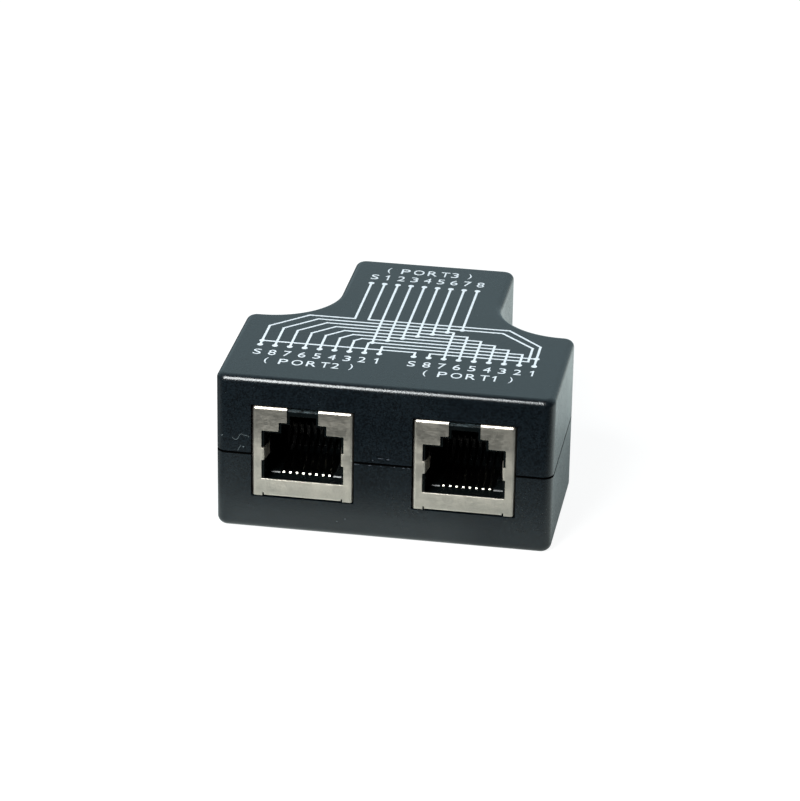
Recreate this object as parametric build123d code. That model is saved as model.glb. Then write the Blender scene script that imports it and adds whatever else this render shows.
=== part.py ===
from build123d import *
from math import cos, radians, sin
import os

# T-shaped network cable splitter: a two-part moulded case round a circuit board that carries three
# shielded eight-contact sockets, two in the wide front and one in the end of the neck.
# Millimetres, +Z up, +Y towards the neck. The origin is the middle of the underside.

# Case: plan, height and rounding
case_width = 51.7
case_depth = 50.2
case_height = 25.4
body_depth = 25.0
neck_width = 25.9
shoulder_radius = 10.8
corner_radius = 1.7
top_edge_radius = 1.0
bottom_edge_radius = 1.35
case_wall = 1.9

# Parting line: a shadow gap, with a tongue on the lower half that enters a groove in the upper one
parting_height = 12.7
parting_gap = 0.15
parting_chamfer = 0.08
tongue_height = 1.0
tongue_thickness = 0.8
tongue_clearance = 0.1

# Circuit board and what carries it
board_thickness = 1.6
board_standoff = 2.35
board_clearance = 0.4
gusset_length = 2.4
gusset_thickness = 1.2
gusset_setback_near = 4.0
gusset_setback_far = 16.0

# Posts: a shouldered post and peg on the lower half, a tubular boss on the upper half
post_radius = 2.2
post_wall_gap = 0.5
peg_radius = 1.2
peg_clearance = 0.06
peg_engagement = 6.0
centre_post_setback = 10.0
neck_post_setback = 4.5
boss_clearance = 0.05

# Ribs of the upper half that hold each socket down
press_rib_spacing = 9.2
press_rib_thickness = 1.2
press_rib_length = 11.0
press_rib_clearance = 0.05

# Sockets: places in the case, the front ones set in from the sides
port_setback = 13.475
port_gap = 0.2

# Shield: folded sheet round each socket
shield_width = 15.5
shield_height = 14.85
shield_depth = 16.0
sheet = 0.25
fold_radius = 0.5
sill_height = 2.81
shield_margin = 0.36
opening_radius = 0.18
slot_setback = 1.4
hem_width = 11.9
hem_depth = 1.9
hem_radius = 0.3
relief_width = 0.25
leg_width = 1.4
leg_setback = 11.6
leg_protrusion = 1.1
leg_taper = 0.35
rear_slit = 0.12
rear_slit_margin = 1.2

# Grounding springs at both sides of the opening
spring_height = 2.0
spring_level = 6.95
spring_lip = 0.3
spring_crest_depth = 2.6
spring_crest_inset = 0.7
spring_reach = 4.9
spring_thickness = 0.2
spring_pocket_gap = 0.35

# Way in for a plug: body, latch and release tab
plug_way_width = 11.95
plug_way_top = 10.53
latch_way_width = 6.65
latch_way_top = 12.06
tab_way_width = 4.12
tab_way_top = 13.5
way_floor = 2.35
way_depth = 11.4
catch_thickness = 1.9
latch_pocket_depth = 9.5
latch_pocket_top = 13.2
latch_pocket_width = 7.4

# Socket body
housing_gap = 0.05
housing_chamfer = 0.3
foot_radius = 0.8
foot_spacing = 12.4
foot_setback = 8.6
foot_clearance = 0.1

# Contact carrier
insert_width = 11.6
insert_top = 2.2
insert_nose_depth = 3.6
insert_nose_top = 2.65
insert_nose_length = 0.8
insert_nose_radius = 0.65
insert_gap = 0.05
insert_end = 14.9

# Contacts
contact_count = 8
contact_pitch = 1.016
contact_width = 0.36
contact_thickness = 0.3
contact_run_height = 1.0
contact_bend_height = 2.42
contact_slope = 28.0
contact_end_depth = 10.95
contact_bend_radius = 0.45
contact_slot_gap = 0.03
pin_row_near = 11.2
pin_row_far = 13.74
pin_protrusion = 1.1
pin_hole_radius = 0.4

# Comb at the back of the plug's way: a base bar and one slot for each contact's free end
comb_length = 0.9
comb_bottom = 3.1
comb_base_top = 4.0
comb_top = 9.2
comb_slot_gap = 0.08

front_y = -case_depth / 2
back_y = case_depth / 2
shoulder_y = front_y + body_depth
board_bottom = case_wall + board_standoff
board_top = board_bottom + board_thickness
ceiling_height = case_height - case_wall
half_shield = shield_width / 2
half_way = plug_way_width / 2
port_spacing = case_width - 2 * port_setback
lower_top = parting_height - parting_gap / 2
upper_bottom = parting_height + parting_gap / 2

ports = {
    "port1": Location((port_spacing / 2, front_y, board_top)),
    "port2": Location((-port_spacing / 2, front_y, board_top)),
    "port3": Location((0, back_y, board_top), (0, 0, 180)),
}


def block(x_range, y_range, z_range):
    """Rectangular block between two values on each axis."""
    lows, highs = zip(x_range, y_range, z_range)
    centre = [(low + high) / 2 for low, high in zip(lows, highs)]
    sides = [high - low for low, high in zip(lows, highs)]
    return Pos(*centre) * Box(*sides)


def both_sides(solid):
    """The solid and its mirror image across the middle plane."""
    return solid + mirror(solid, about=Plane.YZ)


def case_outline():
    """Plan of the case: wide body, concave shoulders and a narrower neck."""
    half_body = case_width / 2
    half_neck = neck_width / 2
    ledge = half_body - half_neck
    shoulder = min(shoulder_radius, ledge - corner_radius - parting_chamfer)
    right_side = FilletPolyline(
        (0, front_y),
        (half_body, front_y),
        (half_body, shoulder_y),
        (half_neck, shoulder_y),
        (half_neck, back_y),
        (0, back_y),
        radius=[corner_radius, corner_radius, shoulder, corner_radius],
    )
    return make_face(right_side + mirror(right_side, about=Plane.YZ))


def inner_outline(inset):
    """Plan of the case moved inwards by inset."""
    return offset(case_outline(), amount=-inset, kind=Kind.INTERSECTION)


def prism(outline, low, high):
    """Plan outline raised between two heights."""
    return Pos(0, 0, low) * extrude(outline, high - low)


def port_cutouts():
    """Clearance round the three shields where they pass the case wall."""
    half = half_shield + port_gap
    reach = case_wall + tongue_clearance
    tool = block((-half, half), (-1, reach), (-port_gap, shield_height + port_gap))
    return [place * tool for place in ports.values()]


def post_places():
    """Plan places of the five posts that join the two halves."""
    half_pitch = post_radius + post_wall_gap
    body_x = case_width / 2 - case_wall - half_pitch
    body_y = shoulder_y - case_wall - half_pitch
    neck_x = neck_width / 2 - case_wall - half_pitch
    neck_y = back_y - shield_depth - neck_post_setback
    centre = (0, front_y + centre_post_setback)
    return [centre, (body_x, body_y), (-body_x, body_y), (neck_x, neck_y), (-neck_x, neck_y)]


def upright(radius, place, low, high):
    """Round post standing at a plan place between two heights."""
    return Pos(*place, low) * extrude(Circle(radius), high - low)


def gussets():
    """Short ribs on the side walls of the lower half that the board rests on."""
    stations = []
    for setback in (gusset_setback_near, gusset_setback_far):
        stations += [(case_width / 2, front_y + setback), (neck_width / 2, back_y - setback)]
    ribs = []
    for outside, y in stations:
        inside = outside - case_wall
        x_range = (inside - gusset_length, inside + case_wall / 2)
        y_range = (y - gusset_thickness / 2, y + gusset_thickness / 2)
        rib = block(x_range, y_range, (case_wall / 2, board_bottom))
        ribs += [rib, mirror(rib, about=Plane.YZ)]
    return ribs


def make_bottom_shell():
    """Lower half: floor, walls, tongue, gussets and the pegged posts."""
    outer = prism(case_outline(), 0, lower_top)
    outer = fillet(outer.faces().sort_by(Axis.Z)[0].edges(), bottom_edge_radius)
    outer = chamfer(outer.faces().sort_by(Axis.Z)[-1].edges(), parting_chamfer)
    shell = outer - prism(inner_outline(case_wall), case_wall, parting_height)
    tongue_plan = inner_outline(case_wall - tongue_thickness) - inner_outline(case_wall)
    shell += prism(tongue_plan, lower_top - parting_chamfer, upper_bottom + tongue_height)
    shell -= port_cutouts()
    shell += gussets()
    for place in post_places():
        shell += upright(post_radius, place, case_wall / 2, board_bottom)
        peg = upright(peg_radius, place, case_wall / 2, board_top + peg_engagement)
        tip = peg.faces().sort_by(Axis.Z)[-1].edges()
        shell += chamfer(tip, peg_radius / 3)
    return shell


def make_top_shell():
    """Upper half: roof, walls, groove for the tongue, hold-down ribs and bosses."""
    outer = prism(case_outline(), upper_bottom, case_height)
    outer = fillet(outer.faces().sort_by(Axis.Z)[-1].edges(), top_edge_radius)
    outer = chamfer(outer.faces().sort_by(Axis.Z)[0].edges(), parting_chamfer)
    shell = outer - prism(inner_outline(case_wall), parting_height, ceiling_height)
    groove_plan = inner_outline(case_wall - tongue_thickness - tongue_clearance)
    shell -= prism(groove_plan, parting_height, upper_bottom + tongue_height + tongue_clearance)
    shell -= port_cutouts()

    rib_bottom = shield_height + press_rib_clearance
    rib_top = ceiling_height + case_wall / 2 - board_top
    rib_x = (press_rib_spacing - press_rib_thickness) / 2
    rib_y = (case_wall, case_wall + press_rib_length)
    rib = block((rib_x, rib_x + press_rib_thickness), rib_y, (rib_bottom, rib_top))
    shell += [place * both_sides(rib) for place in ports.values()]

    hole_top = board_top + peg_engagement + boss_clearance
    for place in post_places():
        shell += upright(post_radius, place, board_top + boss_clearance, ceiling_height + case_wall / 2)
    for place in post_places():
        shell -= upright(peg_radius + peg_clearance, place, board_bottom, hole_top)
    return shell


def contact_places():
    """Number, sideways place and pin row of each contact in a socket."""
    first = -(contact_count - 1) * contact_pitch / 2
    rows = (pin_row_near, pin_row_far)
    return [(n + 1, first + n * contact_pitch, rows[n % 2]) for n in range(contact_count)]


def leg_plan(grow):
    """Plan section of a shield leg, grown all round."""
    return Pos(half_shield - sheet / 2, leg_setback) * Rectangle(sheet + 2 * grow, leg_width + 2 * grow)


def make_circuit_board():
    """Board cut to the inside of the case, drilled for pins, feet, legs and pegs."""
    board = prism(inner_outline(case_wall + board_clearance), board_bottom, board_top)
    for place in post_places():
        board -= upright(peg_radius + foot_clearance, place, case_wall, case_height)
    drill = [Pos(x, row) * Circle(pin_hole_radius) for _, x, row in contact_places()]
    feet = Pos(foot_spacing / 2, foot_setback) * Circle(foot_radius + foot_clearance)
    side = [feet, leg_plan(foot_clearance)]
    drill += side + [mirror(hole, about=Plane.YZ) for hole in side]
    tools = [Pos(0, 0, -2 * board_thickness) * extrude(hole, 3 * board_thickness) for hole in drill]
    for place in ports.values():
        board -= [place * tool for tool in tools]
    return board


def way_in(margin, floor, top):
    """Stepped outline that a plug, its latch and its release tab pass through."""
    body = half_way + margin
    latch = latch_way_width / 2 + margin
    tab = tab_way_width / 2 + margin
    right = Polyline(
        (0, floor),
        (body, floor),
        (body, plug_way_top + margin),
        (latch, plug_way_top + margin),
        (latch, latch_way_top + margin),
        (tab, latch_way_top + margin),
        (tab, top),
        (0, top),
    )
    return make_face(right + mirror(right, about=Plane.YZ))


def run_in(profile, start, end):
    """Front outline carried into the socket from one depth to another."""
    upright_plane = Plane((0, start, 0), x_dir=(1, 0, 0), z_dir=(0, -1, 0))
    return extrude(upright_plane * profile, start - end)


def make_shield():
    """Folded sleeve with the front opening, front hem, side springs and legs."""
    outer = block((-half_shield, half_shield), (0, shield_depth), (0, shield_height))
    outer = fillet(outer.edges().filter_by(lambda edge: edge.center().Z > sheet), fold_radius)
    hollow = block(
        (sheet - half_shield, half_shield - sheet),
        (sheet, shield_depth - sheet),
        (-1, shield_height - sheet),
    )
    hollow = fillet(hollow.edges().filter_by(lambda edge: edge.center().Z > 0), fold_radius - sheet)
    shield = outer - hollow

    opening = way_in(shield_margin, sill_height, shield_height + 1)
    corners = opening.vertices().filter_by(lambda v: sill_height < v.Z + v.Y < shield_height)
    opening = fillet(corners, opening_radius)
    shield -= run_in(opening, -1, slot_setback)

    relief = (hem_width / 2, hem_width / 2 + relief_width)
    shield -= both_sides(block(relief, (-1, hem_depth), (-1, fold_radius)))
    shield -= block((-hem_width / 2, hem_width / 2), (-1, hem_depth), (-1, fold_radius))
    shield += make_hem()
    slit_x = (half_shield - sheet - rear_slit, half_shield - sheet)
    slit = block(slit_x, (shield_depth - 2 * sheet, shield_depth + 1), (-1, shield_height - rear_slit_margin))
    shield -= both_sides(slit)
    return shield + both_sides(make_leg()) + both_sides(make_spring())


def make_hem():
    """Lower edge of the front plate folded back under the socket."""
    outside = Pos(hem_depth / 2, fold_radius) * Rectangle(hem_depth, 2 * fold_radius)
    outside = fillet(outside.vertices().group_by(Axis.Y)[0].sort_by(Axis.X)[0], hem_radius)
    inside = Pos(sheet + hem_depth / 2, sheet + fold_radius) * Rectangle(hem_depth, 2 * fold_radius)
    inside = fillet(inside.vertices().group_by(Axis.Y)[0].sort_by(Axis.X)[0], hem_radius - sheet)
    band = (outside - inside) & (Pos(hem_depth / 2, fold_radius / 2) * Rectangle(hem_depth, fold_radius))
    return across(band, -hem_width / 2, hem_width / 2)


def across(profile, start, end):
    """Side outline, drawn as depth and height, carried across the socket."""
    side_plane = Plane((start, 0, 0), x_dir=(0, 1, 0), z_dir=(1, 0, 0))
    return extrude(side_plane * profile, end - start)


def make_leg():
    """Tapered solder leg that carries the side wall down through the board."""
    half = leg_width / 2
    bottom = -board_thickness - leg_protrusion
    outline = Polygon(
        (leg_setback - half, fold_radius),
        (leg_setback - half, bottom + leg_width / 2),
        (leg_setback - half + leg_taper, bottom),
        (leg_setback + half - leg_taper, bottom),
        (leg_setback + half, bottom + leg_width / 2),
        (leg_setback + half, fold_radius),
        align=None,
    )
    return across(outline, half_shield - sheet, half_shield)


def make_spring():
    """Grounding spring: a lip beside the opening that bows into the plug's way."""
    edge = half_way + shield_margin
    crest = edge - spring_crest_inset
    middle = spring_thickness / 2
    path = FilletPolyline(
        (edge + fold_radius, middle),
        (edge - spring_lip, middle),
        (crest, spring_crest_depth),
        (edge - spring_lip / 2, spring_reach),
        radius=spring_thickness,
    )
    band = trace(path, spring_thickness)
    bottom = spring_level - spring_height / 2
    return Pos(0, 0, bottom) * extrude(band, spring_height)


def make_housing():
    """Moulded socket body with the plug's way, latch catch, comb and feet."""
    half = half_shield - sheet - housing_gap
    front = sheet + housing_gap
    back = shield_depth - sheet - housing_gap
    body = block((-half, half), (front, back), (0, shield_height - sheet - housing_gap))
    body = chamfer(body.edges().filter_by(lambda edge: edge.center().Z > sheet), housing_chamfer)

    body -= run_in(way_in(0, way_floor, tab_way_top), -1, way_depth)
    pocket = (-latch_pocket_width / 2, latch_pocket_width / 2)
    body -= block(pocket, (catch_thickness, latch_pocket_depth), (plug_way_top, latch_pocket_top))

    half_insert = insert_width / 2 + insert_gap
    insert_front = insert_nose_depth - insert_gap
    insert_room = (-half_insert, half_insert)
    insert_rear = insert_end + insert_gap
    body -= block(insert_room, (insert_front, insert_rear), (-1, insert_top + insert_gap))
    body -= block(insert_room, (insert_front, way_depth), (-1, way_floor + 1))

    hem_room = hem_width / 2 + relief_width
    body -= block((-hem_room, hem_room), (-1, hem_depth + housing_gap), (-1, fold_radius))
    spring_room = half_way + shield_margin + spring_pocket_gap
    low = spring_level - spring_height / 2 - housing_gap
    high = spring_level + spring_height / 2 + housing_gap
    body -= both_sides(block((0, spring_room), (-1, spring_reach + spring_pocket_gap), (low, high)))

    body += make_comb()
    foot = Pos(foot_spacing / 2, foot_setback, -board_thickness) * extrude(Circle(foot_radius), 2 * board_thickness)
    foot -= block(insert_room, (insert_front, insert_rear), (0, insert_top + insert_gap))
    return body + both_sides(foot)


def make_comb():
    """Base bar and upright teeth between the free ends of the contacts."""
    tooth = contact_pitch - contact_width - 2 * comb_slot_gap
    first = -contact_count * contact_pitch / 2
    depth = (way_depth - comb_length, way_depth + comb_slot_gap)
    teeth = [block((first, -first), depth, (comb_bottom, comb_base_top))]
    for n in range(contact_count + 1):
        x = first + n * contact_pitch
        teeth.append(block((x - tooth / 2, x + tooth / 2), depth, (comb_bottom, comb_top)))
    return teeth


def make_insert():
    """Carrier plate with a raised nose, slotted for the eight contacts."""
    half = insert_width / 2
    nose_back = insert_nose_depth + insert_nose_length
    slope_end = nose_back + insert_nose_top - insert_top
    outline = Polygon(
        (insert_nose_depth, 0),
        (insert_end, 0),
        (insert_end, insert_top),
        (slope_end, insert_top),
        (nose_back, insert_nose_top),
        (insert_nose_depth, insert_nose_top),
        align=None,
    )
    carrier = across(outline, -half, half)
    nose_edge = carrier.edges().filter_by(Axis.X).group_by(Axis.Z)[-1].sort_by(Axis.Y)[0]
    carrier = fillet(nose_edge, insert_nose_radius)
    slot_half = contact_width / 2 + contact_slot_gap
    slot_top = contact_run_height + contact_thickness / 2 + contact_slot_gap
    slot_front = insert_nose_depth - 1
    for _, x, row in contact_places():
        side = (x - slot_half, x + slot_half)
        row_end = row + contact_thickness / 2 + contact_slot_gap
        carrier -= block(side, (slot_front, row_end), (-1, slot_top))
        carrier -= block(side, (slot_front, slope_end), (-1, insert_nose_top + 1))
    return carrier


def make_contact(row):
    """Spring contact: pin, run under the floor, front bend and sloping free end."""
    nose = insert_nose_depth + contact_thickness / 2
    run = contact_end_depth - nose
    rise = run * sin(radians(contact_slope)) / cos(radians(contact_slope))
    path = FilletPolyline(
        (row, -board_thickness - pin_protrusion),
        (row, contact_run_height),
        (nose, contact_run_height),
        (nose, contact_bend_height),
        (contact_end_depth, contact_bend_height + rise),
        radius=contact_bend_radius,
    )
    strip = trace(path, contact_thickness)
    return across(strip, -contact_width / 2, contact_width / 2)


def build():
    """Every piece by name, in its place."""
    parts = {
        "top_shell": make_top_shell(),
        "bottom_shell": make_bottom_shell(),
        "circuit_board": make_circuit_board(),
    }
    shield = make_shield()
    housing = make_housing()
    insert = make_insert()
    contacts = {row: make_contact(row) for row in (pin_row_near, pin_row_far)}
    for port, place in ports.items():
        parts[f"{port}_shield"] = place * shield
        parts[f"{port}_housing"] = place * housing
        parts[f"{port}_insert"] = place * insert
        for number, x, row in contact_places():
            parts[f"{port}_contact_{number}"] = place * Pos(x, 0, 0) * contacts[row]
    return parts


os.makedirs("parts", exist_ok=True)
for name, solid in build().items():
    export_step(solid, f"parts/{name}.step")
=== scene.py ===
import bpy
from math import atan2, hypot, pi
from mathutils import Matrix, Vector


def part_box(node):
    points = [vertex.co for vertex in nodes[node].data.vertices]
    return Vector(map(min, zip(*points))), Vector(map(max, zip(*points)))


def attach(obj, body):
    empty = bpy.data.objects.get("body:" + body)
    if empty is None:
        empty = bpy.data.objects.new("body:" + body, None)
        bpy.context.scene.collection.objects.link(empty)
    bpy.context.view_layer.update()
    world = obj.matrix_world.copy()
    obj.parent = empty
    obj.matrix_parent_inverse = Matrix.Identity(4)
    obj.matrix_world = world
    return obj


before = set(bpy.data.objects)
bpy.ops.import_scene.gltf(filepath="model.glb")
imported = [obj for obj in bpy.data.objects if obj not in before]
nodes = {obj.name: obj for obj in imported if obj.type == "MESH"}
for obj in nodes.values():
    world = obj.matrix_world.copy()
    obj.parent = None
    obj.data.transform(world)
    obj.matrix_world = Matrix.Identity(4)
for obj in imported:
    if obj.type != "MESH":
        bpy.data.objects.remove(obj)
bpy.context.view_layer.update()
MM = 0.001

# ---------------------------------------------------------------------------
# Circuit board: glass-epoxy laminate under green solder mask, cut to the inside
# of the case and pressed down onto the posts of the lower half.


class Value:
    """Shader socket that plain arithmetic can be written with."""

    def __init__(self, graph, socket):
        self.graph = graph
        self.socket = socket

    def __add__(self, other):
        return self.graph.maths("ADD", self, other)

    def __radd__(self, other):
        return self.graph.maths("ADD", other, self)

    def __sub__(self, other):
        return self.graph.maths("SUBTRACT", self, other)

    def __rsub__(self, other):
        return self.graph.maths("SUBTRACT", other, self)

    def __mul__(self, other):
        return self.graph.maths("MULTIPLY", self, other)

    def __rmul__(self, other):
        return self.graph.maths("MULTIPLY", other, self)

    def __abs__(self):
        return self.graph.maths("ABSOLUTE", self)


class Graph:
    """Shader nodes of one material or of the sky, made and linked one at a time."""

    def __init__(self, owner):
        owner.use_nodes = True
        self.tree = owner.node_tree
        self.tree.nodes.clear()

    def node(self, kind, settings, inputs, output=0):
        """New node with its settings, then the values or links of its sockets."""
        made = self.tree.nodes.new(kind)
        for name, value in settings.items():
            setattr(made, name, value)
        for name, value in inputs.items():
            if isinstance(value, Value):
                self.tree.links.new(value.socket, made.inputs[name])
            else:
                made.inputs[name].default_value = value
        return Value(self, made.outputs[output] if made.outputs else None)

    def maths(self, operation, *values):
        """Math node over one or two values."""
        return self.node("ShaderNodeMath", {"operation": operation}, dict(enumerate(values)))

    def along(self, axis):
        """One axis of the piece's own coordinates, in metres."""
        place = self.node("ShaderNodeTexCoord", {}, {}, "Object")
        return self.node("ShaderNodeSeparateXYZ", {}, {"Vector": place}, axis)

    def between(self, value, low, high, to_low=0.0, to_high=1.0):
        """Value carried smoothly from one range to another."""
        source = {"Value": value, "From Min": low, "From Max": high}
        target = {"To Min": to_low, "To Max": to_high}
        smooth = {"interpolation_type": "SMOOTHSTEP"}
        return self.node("ShaderNodeMapRange", smooth, source | target)

    def mixed(self, share, first, second):
        """Two colours mixed by a share."""
        sockets = {0: share, 6: first, 7: second}
        return self.node("ShaderNodeMix", {"data_type": "RGBA"}, sockets, 2)


class Finish(Graph):
    """Material round one Principled shader, patterned on the piece's own coordinates."""

    def __init__(self, name, fixed):
        self.material = bpy.data.materials.new(name)
        super().__init__(self.material)
        shader = self.node("ShaderNodeBsdfPrincipled", {}, fixed)
        self.surface = shader.socket.node
        self.output = self.tree.nodes.new("ShaderNodeOutputMaterial")
        self.tree.links.new(shader.socket, self.output.inputs["Surface"])
        self.place = self.node("ShaderNodeTexCoord", {}, {}, "Object")

    def noise(self, per_mm, detail=2.0, roughness=0.5, stretch=(1, 1, 1)):
        """Noise of about per_mm blotches in a millimetre, scaled along the axes by stretch."""
        place = self.place
        if stretch != (1, 1, 1):
            place = self.node("ShaderNodeMapping", {}, {"Vector": place, "Scale": stretch})
        sockets = {"Vector": place, "Scale": per_mm / MM, "Detail": detail, "Roughness": roughness}
        return self.node("ShaderNodeTexNoise", {}, sockets, "Fac")

    def polish(self, pattern, smooth, rough):
        """Roughness that follows a noise pattern, whose values mostly lie from 0.3 to 0.7."""
        return self.between(pattern, 0.3, 0.7, smooth, rough)

    def relief(self, height, distance_mm, strength=1.0, edge_mm=0.0):
        """Normal from a height pattern, over edges softened by edge_mm."""
        sockets = {"Height": height, "Distance": distance_mm * MM, "Strength": strength}
        if edge_mm:
            soft_edge = self.node("ShaderNodeBevel", {"samples": 6}, {"Radius": edge_mm * MM})
            sockets["Normal"] = soft_edge
        return self.node("ShaderNodeBump", {}, sockets)

    def feed(self, **sockets):
        """Links that drive the shader; underscores in the names stand for spaces."""
        for name, value in sockets.items():
            self.tree.links.new(value.socket, self.surface.inputs[name.replace("_", " ")])

    def paint_shade(self, share):
        """Mixes painted shade into the surface: a glossless black, by a share."""
        gloss = Value(self, self.surface.outputs[0])
        black = self.node("ShaderNodeBsdfDiffuse", {}, {"Color": (0.001, 0.001, 0.001, 1)})
        both = self.node("ShaderNodeMixShader", {}, {0: share, 1: gloss, 2: black})
        self.tree.links.new(both.socket, self.output.inputs["Surface"])

    def cover(self, *pieces):
        """Gives these objects this material and no other."""
        for piece in pieces:
            piece.data.materials.clear()
            piece.data.materials.append(self.material)


resin_green = (0.012, 0.09, 0.035, 1)
glass_green = (0.03, 0.17, 0.07, 1)
laminate = Finish("green_laminate", {"Coat Weight": 0.4, "Coat Roughness": 0.25})
threads = {"Vector": laminate.place, "Scale": 700.0}
warp = laminate.node("ShaderNodeTexWave", {"bands_direction": "X"}, threads)
weft = laminate.node("ShaderNodeTexWave", {"bands_direction": "Y"}, threads)
weave = warp * weft
cloud = laminate.noise(0.4)
laminate.feed(
    Base_Color=laminate.mixed(weave * 0.5 + cloud * 0.5, resin_green, glass_green),
    Roughness=laminate.polish(cloud, 0.35, 0.5),
    Normal=laminate.relief(weave, 0.02, 0.5),
)
laminate.cover(nodes["circuit_board"])

# ---------------------------------------------------------------------------
# Contacts: eight gold-plated spring wires to a socket, bent over the nose of
# the carrier, with pins through the board.

ports = ("port1", "port2", "port3")
contact_numbers = range(1, 9)
dull_gold = (0.46, 0.44, 0.39, 1)
bright_gold = (0.55, 0.53, 0.47, 1)
gold = Finish("gold_plating", {"Metallic": 1.0})
gold_cloud = gold.noise(1.5, 3.0)
draw_lines = gold.noise(6.0, 2.0, 0.6, (1, 0.05, 0.05))
gold.feed(
    Base_Color=gold.mixed(gold_cloud, dull_gold, bright_gold),
    Roughness=gold.polish(gold_cloud, 0.06, 0.12),
    Normal=gold.relief(draw_lines, 0.002, 0.3, 0.14),
)
gold.cover(*(nodes[f"{port}_contact_{number}"] for port in ports for number in contact_numbers))

# ---------------------------------------------------------------------------
# Socket bodies and contact carriers: smooth black polyester mouldings that fill
# the shields, with the plug's way, the latch catch and the comb. Painted shade
# sinks the carrier between the contacts and the housing above the comb into black.

mouldings = (("housing", "socket_black", 1.24), ("insert", "carrier_black", 1.45))
deep_black = (0.0014, 0.0022, 0.0024, 1)
flow_black = (0.0030, 0.0042, 0.0045, 1)
# A lighter, patchy grey band along the housing's top edge is a painted sheen.
sheen_grey = (0.040, 0.056, 0.062, 1)
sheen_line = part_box("port1_shield")[1].z - 0.65 * MM
sheen_fade = 0.15 * MM
ribs_beyond_contacts = 0.35 * MM
ribs_fade = 0.1 * MM
comb_top = 13.3 * MM
comb_front = 16.3 * MM
comb_fade = 0.2 * MM
for port in ports:
    for piece, name, index in mouldings:
        polyester = Finish(f"{port}_{name}", {"IOR": index})
        flow = polyester.noise(0.5, 4.0, 0.6, (1, 0.4, 1))
        tool_marks = polyester.noise(9.0, 2.0)
        height = polyester.along("Z")
        # Painted sheen along the top edge, broken into patches.
        sheen_patches = polyester.noise(2.2, 4.0, 0.8, (0.5, 1, 2.0))
        painted_sheen = polyester.between(height, sheen_line - sheen_fade, sheen_line + sheen_fade)
        painted_sheen = painted_sheen * polyester.between(sheen_patches, 0.42, 0.62)
        black = polyester.mixed(flow, deep_black, flow_black)
        polyester.feed(
            Base_Color=polyester.mixed(painted_sheen, black, sheen_grey),
            Roughness=polyester.polish(flow, 0.20, 0.30),
            Normal=polyester.relief(tool_marks, 0.003, 0.4, 0.05),
        )
        if piece == "insert":
            outer = (contact_numbers[0], contact_numbers[-1])
            ends = [corner.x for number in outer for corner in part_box(f"{port}_contact_{number}")]
            middle = (min(ends) + max(ends)) / 2
            reach = (max(ends) - min(ends)) / 2 + ribs_beyond_contacts
            from_middle = abs(polyester.along("X") - middle)
            # Painted shade: the carrier between and beside the contacts sinks into black, which
            # hides its gloss.
            polyester.paint_shade(polyester.between(from_middle, reach + ribs_fade, reach))
        else:
            # Painted shade: the housing above the comb, deep inside the socket, sinks into black.
            from_centre = abs(polyester.along("Y"))
            above_comb = polyester.between(height, comb_top, comb_top + comb_fade)
            inside = polyester.between(from_centre, comb_front, comb_front - comb_fade)
            polyester.paint_shade(above_comb * inside)
        polyester.cover(nodes[f"{port}_{piece}"])

# ---------------------------------------------------------------------------
# Shields: nickel-plated sheet, stamped and folded round each socket, with the
# side springs and the hem left in the same satin finish.

clean_nickel = (0.74, 0.675, 0.595, 1)
dull_nickel = (0.66, 0.600, 0.520, 1)
clean_mid_band = (0.86, 0.785, 0.690, 1)
dull_mid_band = (0.78, 0.710, 0.615, 1)
nickel = Finish("satin_nickel", {"Metallic": 1.0})
rolling = nickel.noise(5.0, 3.0, 0.6, (0.3, 1, 1))
stain = nickel.noise(0.35, 3.0, 0.55)
grain = nickel.noise(4.0, 3.0, 0.7)
shield_foot, shield_top = (corner.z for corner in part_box("port1_shield"))
height = nickel.along("Z")
# The nickel is lighter and a little rougher in a band at mid height.
above_foot = nickel.between(height, shield_foot + 3.0 * MM, shield_foot + 5.5 * MM)
below_top = nickel.between(height, shield_top - 3.5 * MM, shield_top - 5.0 * MM)
mid_band = above_foot * below_top
dull = nickel.between(stain * 0.4 + grain * 0.6, 0.35, 0.65)
satin = nickel.between(rolling * 0.5 + stain * 0.5, 0.35, 0.65, 0.32, 0.46)
nickel.feed(
    Base_Color=nickel.mixed(
        mid_band,
        nickel.mixed(dull, clean_nickel, dull_nickel),
        nickel.mixed(dull, clean_mid_band, dull_mid_band),
    ),
    Roughness=satin + mid_band * 0.06,
    Normal=nickel.relief(rolling * 0.4 + grain * 0.6, 0.014, 0.6, 0.08),
)
nickel.cover(*(nodes[f"{port}_shield"] for port in ports))

# ---------------------------------------------------------------------------
# Case halves: one moulding each in black ABS from a fine spark-eroded tool,
# pressed together on the pegs. Each leans by its draft away from the seam in its
# shading normals; the seam is a chamfered shadow gap that is left where they
# meet, along which painted shade darkens a narrow band.

case_dark = (0.0008, 0.0016, 0.0026, 1)
case_light = (0.0044, 0.0076, 0.0104, 1)
seam_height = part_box("bottom_shell")[0].z + 12.7 * MM
painted_seam_shade = 0.17 * MM
painted_seam_shade_end = 0.20 * MM
drafts = {"bottom_shell": 0.015, "top_shell": -0.018}
for half, draft in drafts.items():
    case_black = Finish(f"case_black_{half}", {"IOR": 1.54})
    spark = case_black.noise(4.2, 2.0, 0.6)
    pores = case_black.noise(1.8, 2.0, 0.5)
    handled = case_black.noise(0.06, 3.0, 0.5)
    height = case_black.along("Z")
    lean = height * (draft / MM)
    mottle = case_black.between(spark * 0.85 + handled * 0.15, 0.40, 0.60)
    case_black.feed(
        Base_Color=case_black.mixed(mottle, case_dark, case_light),
        Roughness=case_black.between(handled * 0.6 + pores * 0.4, 0.35, 0.65, 0.20, 0.28),
        Normal=case_black.relief(spark * 0.022 + pores * 0.01 + lean, 1.0),
    )
    # Painted shade: a glossless black band along the seam deepens the shadow gap.
    from_seam = abs(height - seam_height)
    case_black.paint_shade(case_black.between(from_seam, painted_seam_shade_end, painted_seam_shade))
    case_black.cover(nodes[half])

# ---------------------------------------------------------------------------
# Wiring diagram: white pad-printing ink on the roof, which shows how the nine
# lines of the three sockets are joined: tracks, round pads and plain lettering.

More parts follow.
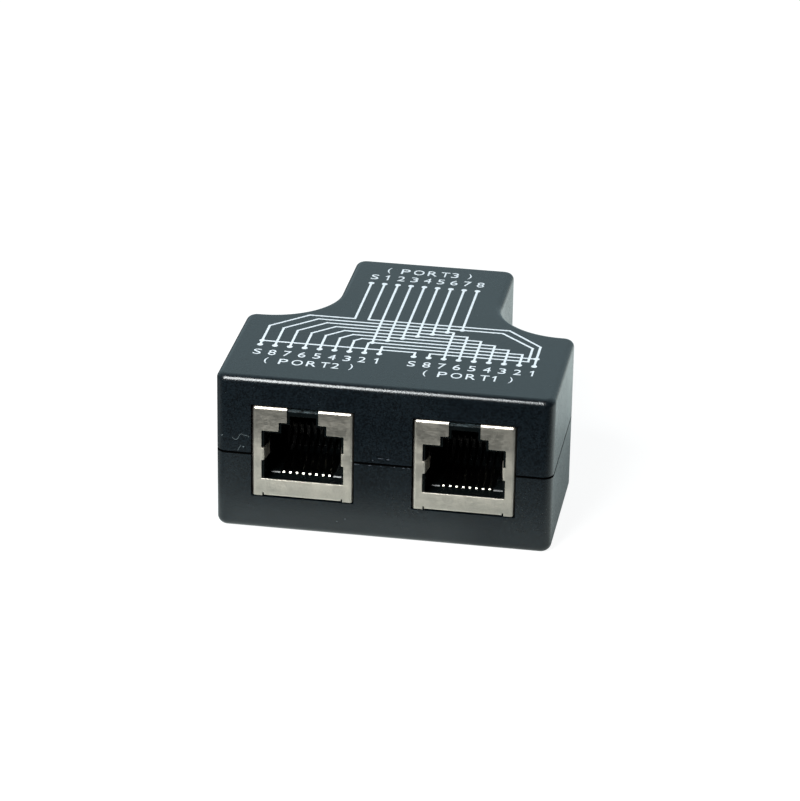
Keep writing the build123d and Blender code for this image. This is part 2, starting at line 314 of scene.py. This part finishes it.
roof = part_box("top_shell")[1].z
ink_thickness = 0.012 * MM
track_width = 0.36 * MM
pad_radius = 0.46 * MM
track_pitch = 1.256 * MM
first_track_y = 0.3 * MM
front_row_y = -12.6 * MM
neck_row_y = 15.2 * MM
front_pitch = 2.322 * MM
neck_pitch = 2.146 * MM
line_count = 9
left_row = [-21.45 * MM + n * front_pitch for n in range(line_count)]
right_row = [2.45 * MM + n * front_pitch for n in range(line_count)]
neck_row = [-8.95 * MM + n * neck_pitch for n in range(line_count)]
level = [first_track_y - n * track_pitch for n in range(line_count + 1)]
left_bend = 5.35 * MM
left_bend_step = 0.72 * MM
outer_bend = (15.5 * MM, -5.1 * MM)
inner_bend = (14.6 * MM, -5.85 * MM)
inner_drop = 19.9 * MM


def fresh(make, **settings):
    """Adds one primitive with nothing else selected."""
    bpy.ops.object.select_all(action="DESELECT")
    make(**settings)
    return bpy.context.object


def joined(parts, name):
    """Several objects joined into one mesh whose place is in its points."""
    bpy.ops.object.select_all(action="DESELECT")
    for part in parts:
        part.select_set(True)
    bpy.context.view_layer.objects.active = parts[0]
    if len(parts) > 1:
        bpy.ops.object.join()
    piece = bpy.context.object
    piece.name = name
    bpy.ops.object.transform_apply(location=True, rotation=True, scale=True)
    return piece


def track(points, width=track_width):
    """Straight runs of ink through a list of plan points."""
    runs = []
    for (x0, y0), (x1, y1) in zip(points, points[1:]):
        run = fresh(
            bpy.ops.mesh.primitive_cube_add,
            size=1,
            location=((x0 + x1) / 2, (y0 + y1) / 2, roof),
            rotation=(0, 0, atan2(y1 - y0, x1 - x0)),
            scale=(hypot(x1 - x0, y1 - y0) + width, width, 2 * ink_thickness),
        )
        runs.append(run)
    return runs


def pad(x, y):
    """Round dot of ink."""
    size = {"vertices": 24, "radius": pad_radius, "depth": 2 * ink_thickness}
    return fresh(bpy.ops.mesh.primitive_cylinder_add, location=(x, y, roof), **size)


def one_film(film, added):
    """Unites overlapping ink into one solid film."""
    bpy.context.view_layer.objects.active = film
    union = film.modifiers.new("one_film", "BOOLEAN")
    union.operation = "UNION"
    union.solver = "EXACT"
    union.use_self = True
    union.object = added
    bpy.ops.object.modifier_apply(modifier="one_film")
    bpy.data.objects.remove(added)


tracks = []
dots = [pad(x, front_row_y) for x in left_row + right_row]
dots += [pad(x, neck_row_y) for x in neck_row]
for n, x in enumerate(left_row):
    bend = max(left_bend - n * left_bend_step, 0)
    route = [(x, front_row_y), (x, level[n] - bend)]
    if bend:
        route.append((x + bend, level[n]))
    if n == 0:
        route += [(neck_row[0], level[0]), (neck_row[0], neck_row_y)]
    elif n == 1:
        bend_x, bend_y = inner_bend
        route += [(bend_x, level[1]), (inner_drop, bend_y), (inner_drop, level[9])]
        route += [(right_row[1], level[9]), (right_row[1], front_row_y)]
    elif n < 8:
        route += [(right_row[n], level[n]), (right_row[n], front_row_y)]
    else:
        route += [(right_row[8], level[8])]
    tracks += track(route)
bend_x, bend_y = outer_bend
outer_route = [(neck_row[1], neck_row_y), (neck_row[1], level[0]), (bend_x, level[0])]
outer_route += [(right_row[8], bend_y), (right_row[8], front_row_y)]
tracks += track(outer_route)
tracks += track([(left_row[0], level[9]), (right_row[0], level[9]), (right_row[0], front_row_y)])
dots += [pad(left_row[0], level[9]), pad(right_row[8], level[8])]
for n in range(2, line_count):
    line = line_count - n
    tracks += track([(neck_row[n], neck_row_y), (neck_row[n], level[line])])
    dots.append(pad(neck_row[n], level[line]))
print_tracks = joined(tracks, "diagram_tracks")
print_dots = joined(dots, "diagram_pads")
one_film(print_tracks, print_dots)

letter_height = 1.95 * MM
digit_width = 1.18 * MM
letter_widths = {
    "S": 1.22 * MM,
    "P": 1.4 * MM,
    "O": 1.72 * MM,
    "R": 1.52 * MM,
    "T": 1.38 * MM,
    "(": 0.55 * MM,
    ")": 0.55 * MM,
}
bracket_height = 2.2 * MM
one_flag = 0.34 * MM
one_stroke = 0.25 * MM
number_offset = 2.7 * MM
number_shift = 0.12 * MM
word_offset = 5.8 * MM
word_steps = [step * MM for step in (-6.62, -3.95, -1.78, 0.43, 2.50, 4.10, 6.50)]


def letter(sign, x, y):
    """One character of ink, set by the middle of its outline; one is a stem and a flag."""
    if sign == "1":
        top = y + (letter_height - one_stroke) / 2
        runs = track([(x, 2 * y - top), (x, top), (x - one_flag, top - one_flag)], one_stroke)
        figure = joined(runs[:1], "figure_one")
        one_film(figure, runs[1])
        return figure
    text = fresh(bpy.ops.object.text_add)
    text.data.body = sign
    text.data.size = letter_height
    text.data.extrude = ink_thickness
    text.data.resolution_u = 4
    bpy.ops.object.convert(target="MESH")
    text = bpy.context.object
    corners = [Vector(corner) for corner in text.bound_box]
    low = Vector(map(min, zip(*corners)))
    high = Vector(map(max, zip(*corners)))
    width = letter_widths.get(sign, digit_width)
    height = bracket_height if sign in "()" else letter_height
    centred = Matrix.Translation((-(low.x + high.x) / 2, -(low.y + high.y) / 2, 0))
    scaled = Matrix.Diagonal((width / (high.x - low.x), height / (high.y - low.y), 1, 1))
    text.data.transform(Matrix.Translation((x, y, roof)) @ scaled @ centred)
    return text


letters = []
rows = [
    (left_row, "S87654321", front_row_y, -1, "(PORT2)", -0.57 * MM),
    (right_row, "S87654321", front_row_y, -1, "(PORT1)", 0.0),
    (neck_row, "S12345678", neck_row_y, 1, "(PORT3)", 0.0),
]
for row, numbers, y, side, word, shift in rows:
    for x, sign in zip(row, numbers):
        letters.append(letter(sign, x + number_shift, y + side * number_offset))
    centre = (row[0] + row[-1]) / 2 + shift
    for step, sign in zip(word_steps, word):
        letters.append(letter(sign, centre + step, y + side * word_offset))
print_letters = joined(letters, "diagram_lettering")

thin_white = (0.56, 0.59, 0.63, 1)
full_white = (0.72, 0.75, 0.79, 1)
ink = Finish("white_ink", {"IOR": 1.45})
coverage = ink.noise(4.0, 4.0, 0.6)
ink.feed(
    Base_Color=ink.mixed(ink.between(coverage, 0.35, 0.6), thin_white, full_white),
    Roughness=ink.polish(coverage, 0.45, 0.6),
    Normal=ink.relief(coverage, 0.01, 0.4),
)
for piece in (print_tracks, print_letters):
    ink.cover(piece)
    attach(piece, "root")

# ---------------------------------------------------------------------------
# Dust on the front face: two curled lint fibres, a few specks and light scuffs
# along the seam, all pressed flat against the plastic. Places are in millimetres,
# across and up the face.

face_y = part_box("top_shell")[0].y
fibre_radius = 0.04 * MM
fibre_sink = 0.025 * MM
curl = [(-23.24, 15.21), (-22.85, 14.81), (-22.36, 14.97), (-22.12, 15.63)]
curl += [(-21.77, 15.91), (-21.41, 15.69), (-20.98, 15.67), (-20.59, 15.45)]
wisp = [(-22.38, 13.05), (-22.25, 13.4), (-22.05, 13.7), (-21.83, 14.0)]
specks = [(-24.80, 15.42, 0.11), (-21.49, 13.75, 0.13), (-6.97, 2.51, 0.09), (-5.71, 3.04, 0.09)]
scuffs = [(-1.56, 13.27, 0.12), (-0.32, 13.68, 0.45), (0.88, 13.62, 0.36)]
seam_scuff_height = 12.42
seam_scuffs = [(-4.0, 0.45), (-2.0, 0.32), (-0.25, 0.13), (1.8, 0.12), (3.17, 0.19), (3.94, 0.27)]
scuffs += [(x, seam_scuff_height, half_length) for x, half_length in seam_scuffs]
scuff_depth = 0.015
scuff_width = 0.07


def bead(x, z, size):
    """Flat bead on the face, given by its half sizes across, in and up."""
    half_sizes = [half * MM for half in size]
    place = (x * MM, face_y, z * MM)
    sphere = bpy.ops.mesh.primitive_ico_sphere_add
    return fresh(sphere, subdivisions=2, radius=1, location=place, scale=half_sizes)


dust_parts = []
for route in (curl, wisp):
    fibre = fresh(bpy.ops.curve.primitive_nurbs_path_add)
    fibre.data.splines.clear()
    spline = fibre.data.splines.new("NURBS")
    spline.points.add(len(route) - 1)
    for point, (x, z) in zip(spline.points, route):
        point.co = (x * MM, face_y + fibre_sink, z * MM, 1)
    spline.use_endpoint_u = True
    spline.order_u = 3
    fibre.data.bevel_depth = fibre_radius
    fibre.data.bevel_resolution = 2
    bpy.ops.object.convert(target="MESH")
    dust_parts.append(bpy.context.object)
dust_parts += [bead(x, z, (radius, 0.3 * radius, 0.8 * radius)) for x, z, radius in specks]
dust = joined(dust_parts, "front_dust")
scuff_parts = [bead(x, z, (half_length, scuff_depth, scuff_width)) for x, z, half_length in scuffs]
marks = joined(scuff_parts, "front_scuffs")

dark_lint = (0.05, 0.065, 0.070, 1)
light_lint = (0.14, 0.165, 0.175, 1)
lint = Finish("pale_lint", {"IOR": 1.4})
lint_cloud = lint.noise(5.0)
lint.feed(
    Base_Color=lint.mixed(lint_cloud, dark_lint, light_lint),
    Roughness=lint.polish(lint_cloud, 0.6, 0.9),
)

faint_scuff = (0.006, 0.010, 0.016, 1)
bright_scuff = (0.042, 0.050, 0.064, 1)
scuffed = Finish("scuffed_plastic", {"IOR": 1.5})
scuff_cloud = scuffed.noise(5.0, 3.0, 0.7)
scuffed.feed(
    Base_Color=scuffed.mixed(scuffed.between(scuff_cloud, 0.4, 0.6), faint_scuff, bright_scuff),
    Roughness=scuffed.polish(scuff_cloud, 0.4, 0.6),
)
for piece, finish in ((dust, lint), (marks, scuffed)):
    finish.cover(piece)
    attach(piece, "root")

# ---------------------------------------------------------------------------
# Table and sky: a white sweep that fades to dark in front of the object, where
# only reflections see it, with a painted shadow and a painted glow that only
# reflections see too, and a softbox above the camera.

white = (1, 1, 1, 1)
black = (0, 0, 0, 1)
cool_white = (0.93, 1.0, 0.98, 1)
shadow_grey = (0.14, 0.14, 0.14, 1)
seen_glow = 0.92
table_gap = 0.02 * MM
table_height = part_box("bottom_shell")[0].z - table_gap
floor = fresh(bpy.ops.mesh.primitive_plane_add, size=8, location=(0, 0, table_height))
floor.name = "table"
paper_material = bpy.data.materials.new("table_paper")
paper = Graph(paper_material)
seen = paper.node("ShaderNodeLightPath", {}, {}, "Is Camera Ray")
across = paper.along("X")
back = paper.along("Y")
# Painted shadow behind the object on the left, and painted darkness far to the left, seen only in
# reflections.
painted_shadow_behind_left = paper.between(across, -24 * MM, -32 * MM) * paper.between(back, -20 * MM, 0)
far_left = paper.between(across, -28 * MM, -42 * MM)
left_part = paper.between(across, -22.5 * MM, -26.5 * MM)
under_front = paper.between(back, face_y + 12 * MM, face_y)
right_part = paper.between(across, 8 * MM, 16 * MM) * under_front
far_tone = 0.11 + left_part * 0.17 + right_part * 0.06
near_tone = paper.between(back, face_y, face_y + 15 * MM, 0.66, 0.71)
near_tone = near_tone - left_part * 0.15 - right_part * 0.2
close_by = paper.between(back, face_y - 16 * MM, face_y - 4 * MM)
in_reach = paper.between(back, face_y - 30 * MM, face_y - 24 * MM)
tone = 0.02 + in_reach * (far_tone + close_by * (near_tone - far_tone))
tone = tone * (1 - painted_shadow_behind_left * 0.7) * (1 - far_left * 0.6)
reflected = paper.mixed(tone, black, cool_white)
matt_colour = paper.mixed(seen, reflected, shadow_grey)
matt = paper.node("ShaderNodeBsdfDiffuse", {}, {"Color": matt_colour})
# Painted glow near the object, seen only in reflections.
painted_glow = paper.between(back, face_y - 5 * MM, face_y + 10 * MM, 0.05, 0.30) * tone
glow_colour = paper.mixed(seen, cool_white, white)
glow_strength = seen * seen_glow + (1 - seen) * painted_glow
glow = paper.node("ShaderNodeEmission", {}, {"Color": glow_colour, "Strength": glow_strength})
lit_paper = paper.node("ShaderNodeAddShader", {}, {0: matt, 1: glow})
paper.node("ShaderNodeOutputMaterial", {}, {"Surface": lit_paper})
floor.data.materials.append(paper_material)

front_sky = (0.04, 0.048, 0.052, 1)
back_sky = (0.48, 0.64, 0.69, 1)
world = bpy.data.worlds.new("studio")
bpy.context.scene.world = world
sky = Graph(world)
sky_seen = sky.node("ShaderNodeLightPath", {}, {}, "Is Camera Ray")
direction = sky.node("ShaderNodeTexCoord", {}, {}, "Generated")
backwards = sky.node("ShaderNodeSeparateXYZ", {}, {"Vector": direction}, "Y")
sky_tone = sky.mixed(sky.between(backwards, -0.3, 0.6), front_sky, back_sky)
sky_colour = sky.mixed(sky_seen, sky_tone, white)
sky_light = sky.node("ShaderNodeBackground", {}, {"Color": sky_colour})
sky.node("ShaderNodeOutputWorld", {}, {"Surface": sky_light})

key_width = 0.26
key_height = 0.32
key_radiance = 25.0
key_place = Vector((-0.183, -0.41, 0.36))
lamp = bpy.data.lights.new("key_softbox", "AREA")
lamp.shape = "RECTANGLE"
lamp.size = key_width
lamp.size_y = key_height
lamp.energy = key_radiance * pi * key_width * key_height
lamp.color = (0.96, 1.0, 1.0)
holder = bpy.data.objects.new("key_softbox", lamp)
bpy.context.scene.collection.objects.link(holder)
holder.location = key_place
holder.rotation_mode = "QUATERNION"
holder.rotation_quaternion = key_place.to_track_quat("Z", "Y")

# ---------------------------------------------------------------------------
# Camera: a long lens half a metre away, a little above the object and to its
# right, turned so that the view is the photograph's.

right = Vector((0.98602702, 0.16588526, 0.01525786))
up = Vector((-0.08195348, 0.40330595, 0.91138792))
backward = Vector((0.14503224, -0.89990354, 0.41126544))
eye = Vector((78.727, -498.205, 239.818)) * MM
lens = bpy.data.cameras.new("camera")
lens.sensor_fit = "HORIZONTAL"
lens.sensor_width = 36.0
lens.lens = 158.01
camera = bpy.data.objects.new("camera", lens)
bpy.context.scene.collection.objects.link(camera)
turn = Matrix((right, up, backward)).transposed()
camera.matrix_world = Matrix.Translation(eye) @ turn.to_4x4()
bpy.context.scene.camera = camera
bpy.context.scene.view_settings.view_transform = "Standard"
